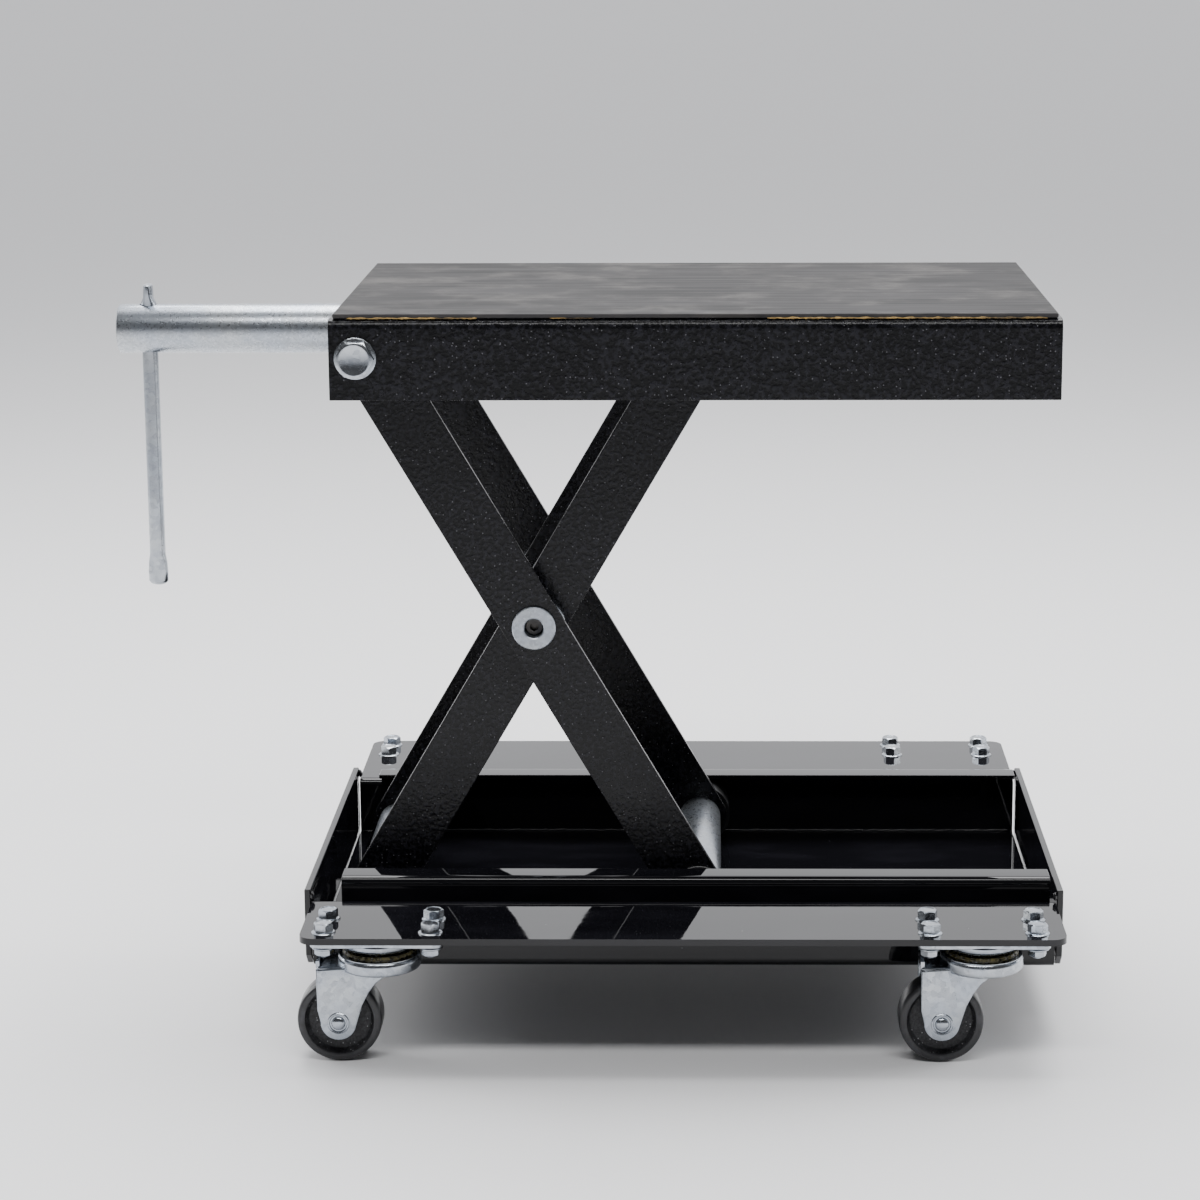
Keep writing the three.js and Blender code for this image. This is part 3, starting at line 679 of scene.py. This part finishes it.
def caster_race(name, steps):
    """The greasy ring and its balls between the race and the fork."""
    axis = Vector(JOINT_AT[f"swivel_{name}"])
    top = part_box(f"caster_fork_{name}")[1][2]
    bm = bmesh.new()
    ring = [(17 * MM, 0.1 * MM), (21.4 * MM, 0.1 * MM), (21.9 * MM, 1.3 * MM), (21.2 * MM, 2.7 * MM), (17 * MM, 2.7 * MM)]
    merge(bm, spun(ring, steps), Matrix.Translation((axis.x, axis.y, top)))
    balls = 26
    for i in range(balls):
        turn = Matrix.Rotation(math.tau * i / balls, 4, "Z")
        place = Matrix.Translation((axis.x, axis.y, top + 1.45 * MM)) @ turn @ Matrix.Translation((20.7 * MM, 0, 0))
        bmesh.ops.create_icosphere(bm, subdivisions=2, radius=1.5 * MM, matrix=place)
    added(settle(bm, f"caster_race_{name}", finish_of("race_grease")), f"caster_{name}")


def caster_fork(name, steps):
    """The pressed fork: a crown with a rolled rim, two legs, and the riveted axle."""
    node = f"caster_fork_{name}"
    low, high = (Vector(corner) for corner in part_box(node))
    swivel = Vector(JOINT_AT[f"swivel_{name}"])
    axle = Vector(JOINT_AT[f"roll_{name}"])
    trail = axle.x - swivel.x
    back = low.x - swivel.x
    half = 15.0 * MM
    thick = 2.5 * MM
    bm = bmesh.new()
    cup = [(0, 0), (24.2 * MM, 0), (24.2 * MM, -0.4 * MM)]
    cup += arc((21.4 * MM, -3.2 * MM), 3.5 * MM, 60, 0, 6)
    cup += [(24.9 * MM, -6.8 * MM), (24.4 * MM, -8.2 * MM), (23.4 * MM, -8.8 * MM), (0, -8.8 * MM)]
    merge(bm, spun(cup, steps), Matrix.Translation((swivel.x, swivel.y, high.z)))
    shelf = rounded_box_outline((-back) / 2, half - 1 * MM, 3 * MM)
    shelf = [(x + back / 2, y) for x, y in shelf]
    drop = 5.5 * MM
    merge(bm, plate_from(shelf, 3.2 * MM, 1.1 * MM, 4), Matrix.Translation((swivel.x, swivel.y, high.z - drop - 3.2 * MM)))
    lip = [(back, -half + 2.5 * MM), (back + 2.2 * MM, -half + 2.5 * MM), (back + 2.2 * MM, half - 2.5 * MM), (back, half - 2.5 * MM)]
    merge(bm, plate_from(lip, 4.2 * MM, 0.9 * MM, 4), Matrix.Translation((swivel.x, swivel.y, high.z - drop - 1 * MM)))
    top = high.z - 5.6 * MM
    leg = [(back + 0.1 * MM, top - 1.5 * MM), (back + 0.4 * MM, axle.z + 8 * MM)]
    leg += arc((trail, axle.z), 10.8 * MM, 178, 350, 22)
    leg += [(trail + 14.5 * MM, axle.z + 11 * MM), (trail + 18.5 * MM, axle.z + 19 * MM), (trail + 23 * MM, axle.z + 25 * MM)]
    leg += [(trail + 29 * MM, axle.z + 29.5 * MM), (trail + 38 * MM, axle.z + 32 * MM), (trail + 42 * MM, top - 0.5 * MM)]
    leg += [(trail + 20 * MM, top), (trail + 8 * MM, top)]
    for sign in (-1, 1):
        plate = plate_from(leg, thick, 0.9 * MM, 3)
        stand = Matrix.Rotation(math.radians(90), 4, "X")
        place = Matrix.Translation((swivel.x, swivel.y + sign * (half - thick / 2) + thick / 2, 0)) @ stand
        merge(bm, plate, place)
        ring = [(4.9 * MM, -1 * MM), (6.7 * MM, -1 * MM), (6.7 * MM, 0.3 * MM), (6.2 * MM, 0.8 * MM), (5.4 * MM, 0.6 * MM), (4.9 * MM, -0.2 * MM)]
        rivet = [(0, -3 * MM), (4.2 * MM, -3 * MM), (4.2 * MM, 0.2 * MM), (3.9 * MM, 0.9 * MM), (2.9 * MM, 1.6 * MM), (1.5 * MM, 1.95 * MM), (0, 2.05 * MM)]
        face = Vector((axle.x, axle.y + sign * half, axle.z))
        for profile in (ring, rivet):
            merge(bm, spun(profile, steps // 2), frame_towards(Y_AXIS * sign, face))
    rod = [(0, -half), (4 * MM, -half), (4 * MM, half), (0, half)]
    merge(bm, spun(rod, steps // 2), frame_towards(Y_AXIS, axle))
    stands_for(settle(bm, node + "_fine", finish_of("zinc_plate"), sharp=40), node)


def caster_wheel(name, steps):
    """The cast wheel: a flat rim face round a sunk rough web, a hub and a crowned tread."""
    node = f"caster_wheel_{name}"
    centre = Vector(JOINT_AT[f"roll_{name}"])
    radius = extent(node).z / 2
    half = extent(node).y / 2
    face = [(4.3, half / MM - 0.2), (8.0, half / MM - 0.2), (8.6, half / MM - 1.0), (9.2, half / MM - 4.2), (18.6, half / MM - 4.6),
            (20.3, half / MM - 2.5), (20.8, half / MM - 0.3), (21.4, half / MM), (24.2, half / MM), (25.0, half / MM - 0.7)]
    near = [(r * MM, h * MM) for r, h in face]
    profile = near + [(radius, half - 3.5 * MM), (radius, -half + 3.5 * MM)] + [(r, -h) for r, h in reversed(near)]
    bm = spun(profile, steps)
    for f in bm.faces:
        spread = max(v.co.xy.length for v in f.verts)
        f.material_index = 1 if spread > 21.0 * MM else 0
    bmesh.ops.transform(bm, matrix=frame_towards(Y_AXIS, centre), verts=bm.verts)
    finishes = [finish_of("cast_iron"), finish_of("wheel_rim")]
    stands_for(settle(bm, node + "_fine", finishes, sharp=50), node)


def caster_bolt(node, steps):
    """A flange-head bolt with its flange nut and the thread's tip."""
    low, high = (Vector(corner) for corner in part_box(node))
    axis = middle(node)
    turn = Matrix.Rotation(wobble(axis.x * 90 + axis.y * 170) * math.pi, 4, "Z")
    flange = [(0, 0), (6.9, 0), (7.25, 0.3), (7.2, 0.8), (6.2, 1.5), (0, 1.6)]
    seat = high.z - 6.9 * MM
    bm = bmesh.new()
    merge(bm, spun([(r * MM, h * MM) for r, h in flange], steps // 2), Matrix.Translation((axis.x, axis.y, seat)))
    merge(bm, hex_head(10.6 * MM, 5.7 * MM), Matrix.Translation((axis.x, axis.y, seat + 1.1 * MM)) @ turn)
    nut_top = high.z - 6.9 * MM - 8.0 * MM
    down = Matrix.Translation((axis.x, axis.y, nut_top)) @ Matrix.Rotation(math.pi, 4, "X")
    merge(bm, spun([(r * MM, h * MM) for r, h in flange], steps // 2), down)
    merge(bm, hex_head(9.8 * MM, 4.2 * MM, dish=0.2 * MM), down @ Matrix.Translation((0, 0, 1.0 * MM)) @ turn)
    tip = nut_top - low.z
    thread = [(0, 0)]
    level = 0.0
    while level < tip - 1.2 * MM:
        thread += [(3.0 * MM, level), (3.0 * MM, level + 0.2 * MM), (2.6 * MM, level + 0.5 * MM), (2.6 * MM, level + 0.7 * MM)]
        level += 1.0 * MM
    thread += [(2.8 * MM, tip - 0.8 * MM), (2.2 * MM, tip), (0, tip)]
    merge(bm, spun(thread, 24), down)
    stands_for(settle(bm, node + "_fine", finish_of("zinc_plate")), node)


class JACK_OT_casters(bpy.types.Operator):
    """Model the four casters with their races, forks, wheels, bolts and nuts"""

    bl_idname = "jack.casters"
    bl_label = "Casters"

    def execute(self, context):
        steps = context.scene.jack_sizes.round_steps
        for name in CASTERS:
            caster_top(name, steps)
            caster_race(name, steps)
            caster_fork(name, steps)
            caster_wheel(name, steps)
            for i in range(1, 5):
                caster_bolt(f"caster_bolt_{name}_{i}", steps)
        return {"FINISHED"}


# ---- Scissor ------------------------------------------------------------------------------


def turned_node(node, axis, profile, finish, steps, soften=0.0, sharp=35):
    """A turned piece about the middle of a CAD node, which it replaces."""
    bm = spun(profile, steps, soften)
    bmesh.ops.transform(bm, matrix=frame_towards(axis, middle(node)), verts=bm.verts)
    piece = settle(bm, node + "_fine", finish, sharp)
    stands_for(piece, node)
    return piece


class JACK_OT_scissor(bpy.types.Operator):
    """Finish the arms and turn the shafts, washers, discs and rollers"""

    bl_idname = "jack.scissor"
    bl_label = "Scissor"

    def execute(self, context):
        sizes = context.scene.jack_sizes
        steps = sizes.round_steps
        for kind in ("outer", "inner"):
            for side in ("front", "rear"):
                eased(f"{kind}_arm_{side}", finish_of("satin_black_paint"), sizes.sheet_edge)
        bright = finish_of("zinc_plate")
        dull = finish_of("dull_zinc")
        for node, beside in (("base_pivot_shaft", "inner_arm_rear"), ("roller_shaft", "outer_arm_rear")):
            reach = extent(node).y / 2
            tube_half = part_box(beside)[0][1] - middle(node).y - 0.3 * MM
            profile = [(0, -reach), (8 * MM, -reach), (8 * MM, -tube_half), (14 * MM, -tube_half),
                       (14 * MM, tube_half), (8 * MM, tube_half), (8 * MM, reach), (0, reach)]
            turned_node(node, Y_AXIS, profile, finish_of("spangled_zinc"), steps, 0.5 * MM)
        end = extent("centre_shaft").y / 2
        bore = 6.0 * MM
        half = [(bore, end - 0.5 * MM), (bore + 0.7 * MM, end), (12.9 * MM, end), (13.5 * MM, end - 0.6 * MM), (13.5 * MM, end - 3 * MM), (10 * MM, end - 3 * MM)]
        profile = [(0, end - 30 * MM), (bore, end - 30 * MM)] + half
        profile += [(r, -h) for r, h in reversed(profile)]
        turned_node("centre_shaft", Y_AXIS, profile, dull, steps)
        for side, sign in (("front", -1), ("rear", 1)):
            node = f"arm_spacer_{side}"
            washer = extent(node).y / 2
            ring = [(10.3 * MM, -washer), (19 * MM, -washer), (19 * MM, washer), (10.3 * MM, washer)]
            turned_node(node, Y_AXIS, ring, bright, steps, 0.5 * MM)
            eased(f"centre_screw_{side}", finish_of("black_steel"), 0.3 * MM)
            node = f"roller_{side}"
            width = extent(node).y / 2
            radius = extent(node).z / 2
            face = [(8.3 * MM, width), (13 * MM, width), (13.6 * MM, width - 1.2 * MM), (17.4 * MM, width - 1.2 * MM),
                    (18 * MM, width - 0.2 * MM), (20.4 * MM, width), (radius - 0.5 * MM, width - 0.5 * MM), (radius, width - 1.4 * MM)]
            profile = face + [(r, -h) for r, h in reversed(face)]
            turned_node(node, Y_AXIS, profile, finish_of("black_nylon"), steps, sharp=50)
        return {"FINISHED"}


# ---- Deck ---------------------------------------------------------------------------------


class JACK_OT_deck(bpy.types.Operator):
    """Round the deck's edges, lay the rubber pad and its glue, and fit the pivot bolts"""

    bl_idname = "jack.deck"
    bl_label = "Deck"

    def execute(self, context):
        sizes = context.scene.jack_sizes
        steps = sizes.round_steps
        eased("deck_pan", finish_of("satin_black_paint"), sizes.sheet_edge * 1.2)
        eased("rubber_pad", finish_of("rubber_pad"), sizes.pad_edge, segments=4)
        eased("bearing_block", finish_of("black_steel"), 0.8 * MM)
        eased("nut_block", finish_of("black_steel"), 0.8 * MM)
        for side, sign in (("front", -1), ("rear", 1)):
            self.pivot_bolt(side, sign, steps)
            node = f"deck_sleeve_{side}"
            half = extent(node).y / 2
            ring = [(8.3 * MM, -half), (12 * MM, -half), (12 * MM, half), (8.3 * MM, half)]
            turned_node(node, Y_AXIS, ring, finish_of("zinc_plate"), steps // 2, 0.5 * MM)
        self.glue(sizes.glue_width / 2)
        return {"FINISHED"}

    @staticmethod
    def pivot_bolt(side, sign, steps):
        """A hexagon bolt through the deck's side, with a round flange under its head."""
        node = f"deck_bolt_{side}"
        low, high = (Vector(corner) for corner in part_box(node))
        outer = low.y if sign < 0 else high.y
        centre = middle(node)
        seat = Vector((centre.x, outer - sign * 8.7 * MM, centre.z))
        place = frame_towards(Y_AXIS * sign, seat)
        bm = bmesh.new()
        flange = [(0, 0), (12.3 * MM, 0), (12.6 * MM, 0.3 * MM), (12.5 * MM, 1.2 * MM), (11.2 * MM, 1.9 * MM), (0, 2.0 * MM)]
        merge(bm, spun(flange, steps), place.copy())
        merge(bm, hex_head(20.4 * MM, 7.2 * MM, steps=12, dish=0.4 * MM), place @ Matrix.Translation((0, 0, 1.5 * MM)))
        length = extent(node).y - 8.7 * MM
        shank = [(0, 0.5 * MM), (8 * MM, 0.5 * MM), (8 * MM, -length + 1 * MM), (7 * MM, -length), (0, -length)]
        merge(bm, spun(shank, steps // 2), place.copy())
        stands_for(settle(bm, node + "_fine", finish_of("zinc_plate")), node)

    @staticmethod
    def glue(radius):
        """Ragged glue under the pad's edges, thick in places and missing in others."""
        low, high = (Vector(corner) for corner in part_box("rubber_pad"))
        level = low.z + 0.1 * MM
        runs = (("front", 0.02, 0.20, 1.0), ("front", 0.30, 0.36, 0.5), ("front", 0.60, 0.985, 1.1),
                ("rear", 0.05, 0.55, 0.7), ("rear", 0.70, 0.97, 0.8))
        for i, (side, start, stop, size) in enumerate(runs):
            y = low.y if side == "front" else high.y
            ends = [(low.x + (high.x - low.x) * share, y, level) for share in (start, stop)]
            path = line(ends[0], ends[1], 1.5 * MM)
            bead(f"pad_glue_{i + 1}", path, radius * size, finish_of("dried_glue"), "deck", 1.1, seed=20 + i)


# ---- Screw and crank ----------------------------------------------------------------------


class JACK_OT_crank(bpy.types.Operator):
    """Turn the lead screw, the crank tube and its sliding bar"""

    bl_idname = "jack.crank"
    bl_label = "Screw and crank"

    def execute(self, context):
        sizes = context.scene.jack_sizes
        self.screw(sizes.thread_pitch, sizes.round_steps)
        self.tube(sizes.round_steps)
        self.bar(sizes.round_steps)
        return {"FINISHED"}

    @staticmethod
    def screw(pitch, steps):
        """The threaded rod with its hub in the tube and its collar past the block."""
        node = "lead_screw"
        low, high = (Vector(corner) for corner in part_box(node))
        axis = Vector(JOINT_AT["crank_turn"])
        block_low, block_high = (Vector(corner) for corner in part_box("bearing_block"))
        tube_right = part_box("crank_tube")[1][0]
        collar = block_high.x + 0.3 * MM
        profile = [(0, low.x), (11.7 * MM, low.x), (11.7 * MM, tube_right - 1 * MM), (8 * MM, tube_right - 1 * MM),
                   (8 * MM, collar), (12 * MM, collar), (12 * MM, collar + 7.7 * MM), (8 * MM, collar + 7.7 * MM)]
        station = collar + 10 * MM
        while station < high.x - pitch:
            profile += [(8 * MM, station), (8 * MM, station + 0.35 * pitch), (6.9 * MM, station + 0.5 * pitch), (6.9 * MM, station + 0.85 * pitch)]
            station += pitch
        profile += [(7.5 * MM, high.x - 0.8 * MM), (6.8 * MM, high.x), (0, high.x)]
        bm = spun(profile, steps // 2)
        bmesh.ops.transform(bm, matrix=frame_towards(X_AXIS, Vector((0, axis.y, axis.z))), verts=bm.verts)
        stands_for(settle(bm, node + "_fine", finish_of("black_steel")), node)

    @staticmethod
    def tube(steps):
        """The crank tube, with rounded ends and a hole for the bar."""
        node = "crank_tube"
        half = extent(node).x / 2
        wall = [(12 * MM, -half + 0.8 * MM), (12.6 * MM, -half), (14.2 * MM, -half), (15.1 * MM, -half + 0.5 * MM),
                (15.5 * MM, -half + 1.6 * MM), (15.5 * MM, half - 0.6 * MM), (15 * MM, half), (12 * MM, half)]
        bm = spun(wall, steps)
        bmesh.ops.transform(bm, matrix=frame_towards(X_AXIS, middle(node)), verts=bm.verts)
        tube = settle(bm, node + "_fine", finish_of("spangled_zinc"))
        cutter = bmesh.new()
        bar = middle("tommy_bar")
        hole = Matrix.Translation((bar.x, bar.y, middle(node).z))
        bmesh.ops.create_cone(
            cutter, cap_ends=True, radius1=5.7 * MM, radius2=5.7 * MM, depth=40 * MM, segments=40, matrix=hole)
        drill = settle(cutter, "drill", finish_of("spangled_zinc"))
        drilled = tube.modifiers.new("bar hole", "BOOLEAN")
        drilled.operation = "DIFFERENCE"
        drilled.object = drill
        bpy.context.view_layer.objects.active = tube
        tube.select_set(True)
        bpy.ops.object.modifier_apply(modifier=drilled.name)
        bpy.data.objects.remove(drill)
        tube.data.set_sharp_from_angle(angle=math.radians(35))
        stands_for(tube, node)

    @staticmethod
    def bar(steps):
        """The bar: round, pressed flat along X at its top and along Y at its foot."""
        node = "tommy_bar"
        low, high = (Vector(corner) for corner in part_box(node))
        axis = middle(node)
        foot, top = low.z, high.z
        sections = [
            (foot, 0.55, 0.30), (foot + 0.7 * MM, 0.95, 0.50), (foot + 2.5 * MM, 1.24, 0.56), (foot + 9 * MM, 1.27, 0.58),
            (foot + 15 * MM, 1.18, 0.70), (foot + 20 * MM, 1.0, 1.0), (foot + 60 * MM, 1.0, 1.0), (top - 60 * MM, 1.0, 1.0),
            (top - 12 * MM, 0.98, 1.0), (top - 8.5 * MM, 0.66, 1.16), (top - 3 * MM, 0.60, 1.28), (top - 0.6 * MM, 0.58, 1.22),
            (top, 0.42, 0.95),
        ]
        bm = bmesh.new()
        loops = []
        for i, (level, wide, deep) in enumerate(sections):
            place = Matrix.Translation((axis.x, axis.y, level)) @ Matrix.Diagonal((wide, deep, 1, 1))
            ends = i in (0, len(sections) - 1)
            ring = bmesh.ops.create_circle(bm, cap_ends=ends, radius=5 * MM, segments=steps // 2, matrix=place)
            loops.append(dict.fromkeys(e for v in ring["verts"] for e in v.link_edges))
        for near, far in zip(loops, loops[1:]):
            bmesh.ops.bridge_loops(bm, edges=list(near | far))
        stands_for(settle(bm, node + "_fine", finish_of("zinc_plate"), sharp=50), node)


# ---- Stage --------------------------------------------------------------------------------


class JACK_OT_stage(bpy.types.Operator):
    """Lay the pale floor, light the room and stand the camera"""

    bl_idname = "jack.stage"
    bl_label = "Stage"

    def execute(self, context):
        settings = context.scene.jack_stage
        self.floor(settings.floor)
        self.room(settings)
        self.lights(settings)
        self.camera(settings)
        return {"FINISHED"}

    @staticmethod
    def floor(colour):
        """A wide floor under the wheels."""
        paint = Paint("stage_floor")
        tone = paint.blend(paint.grain(0.8, 2) * 0.3, colour, shade(colour, 0.97))
        finish = paint.finish(tone, 0.62)
        bm = bmesh.new()
        bmesh.ops.create_grid(bm, x_segments=1, y_segments=1, size=60, matrix=Matrix.Translation((0, 0, -0.3 * MM)))
        settle(bm, "floor", finish, keep_normals=True)

    @staticmethod
    def room(settings):
        """A bright room behind the jack that falls away to a darker one in front."""
        world = bpy.data.worlds.new("studio")
        bpy.context.scene.world = world
        world.use_nodes = True
        tree = world.node_tree
        coordinates = tree.nodes.new("ShaderNodeTexCoord")
        split = tree.nodes.new("ShaderNodeSeparateXYZ")
        ramp = tree.nodes.new("ShaderNodeMapRange")
        ramp.interpolation_type = "SMOOTHSTEP"
        tree.links.new(coordinates.outputs["Generated"], split.inputs[0])
        tree.links.new(split.outputs["Y"], ramp.inputs["Value"])
        for name, value in (("From Min", -0.35), ("From Max", 0.45), ("To Min", settings.room), ("To Max", settings.backdrop)):
            ramp.inputs[name].default_value = value
        back = tree.nodes["Background"]
        back.inputs["Color"].default_value = (0.97, 0.975, 1.0, 1)
        tree.links.new(ramp.outputs[0], back.inputs["Strength"])

    @staticmethod
    def lights(settings):
        """A broad light overhead, a panel to each side and a narrow strip that draws the bends."""
        aim = Vector((0.05, -0.04, 0.24))
        panels = [
            ("key", (0.1, 0.7, 2.2), 1.8, settings.key),
            ("left", (-1.9, 0.5, 0.9), 0.9, settings.side),
            ("right", (2.0, 0.4, 0.9), 0.9, settings.side),
            ("strip", (0.05, -0.95, 1.5), 1.5, settings.strip),
        ]
        for name, place, size, power in panels:
            lamp = bpy.data.lights.new(name, "AREA")
            lamp.shape = "RECTANGLE"
            lamp.size = size
            lamp.size_y = size * (0.16 if name == "strip" else 0.8)
            lamp.energy = power
            panel = bpy.data.objects.new(name, lamp)
            panel.location = place
            panel.rotation_euler = (aim - Vector(place)).to_track_quat("-Z", "Y").to_euler()
            bpy.context.scene.collection.objects.link(panel)

    @staticmethod
    def camera(settings):
        """A long lens from the front, a little above."""
        lens = bpy.data.cameras.new("camera")
        lens.lens = settings.focal
        lens.sensor_width = 36
        lens.shift_x = settings.shift
        camera = bpy.data.objects.new("camera", lens)
        level = Matrix.Rotation(settings.yaw, 4, "Z")
        tilt = Matrix.Rotation(math.radians(90) - settings.pitch, 4, "X")
        camera.matrix_world = Matrix.Translation(settings.stand) @ level @ tilt @ Matrix.Rotation(settings.roll, 4, "Z")
        bpy.context.scene.collection.objects.link(camera)
        bpy.context.scene.camera = camera


# ---- Panel and run ------------------------------------------------------------------------


STEPS = (JACK_OT_finishes, JACK_OT_dolly, JACK_OT_welds, JACK_OT_casters, JACK_OT_scissor, JACK_OT_deck,
         JACK_OT_crank, JACK_OT_stage)


class JACK_PT_panel(bpy.types.Panel):
    """The jack's settings and its making, step by step"""

    bl_idname = "JACK_PT_panel"
    bl_label = "Scissor jack"
    bl_space_type = "VIEW_3D"
    bl_region_type = "UI"
    bl_category = "Jack"

    def draw(self, context):
        for group in (context.scene.jack_sizes, context.scene.jack_colours, context.scene.jack_stage):
            box = self.layout.box()
            for name in group.bl_rna.properties.keys():
                if name not in ("rna_type", "name"):
                    box.prop(group, name)
        for step in STEPS:
            self.layout.operator(step.bl_idname)


CLASSES = (JackSizes, JackColours, StageSettings, *STEPS, JACK_PT_panel)


def register():
    for cls in CLASSES:
        bpy.utils.register_class(cls)
    bpy.types.Scene.jack_sizes = bpy.props.PointerProperty(type=JackSizes)
    bpy.types.Scene.jack_colours = bpy.props.PointerProperty(type=JackColours)
    bpy.types.Scene.jack_stage = bpy.props.PointerProperty(type=StageSettings)


def unregister():
    for name in ("jack_sizes", "jack_colours", "jack_stage"):
        delattr(bpy.types.Scene, name)
    for cls in reversed(CLASSES):
        bpy.utils.unregister_class(cls)


def main():
    register()
    bpy.ops.jack.finishes()
    bpy.ops.jack.dolly()
    bpy.ops.jack.welds()
    bpy.ops.jack.casters()
    bpy.ops.jack.scissor()
    bpy.ops.jack.deck()
    bpy.ops.jack.crank()
    bpy.ops.jack.stage()


if __name__ == "__main__":
    main()
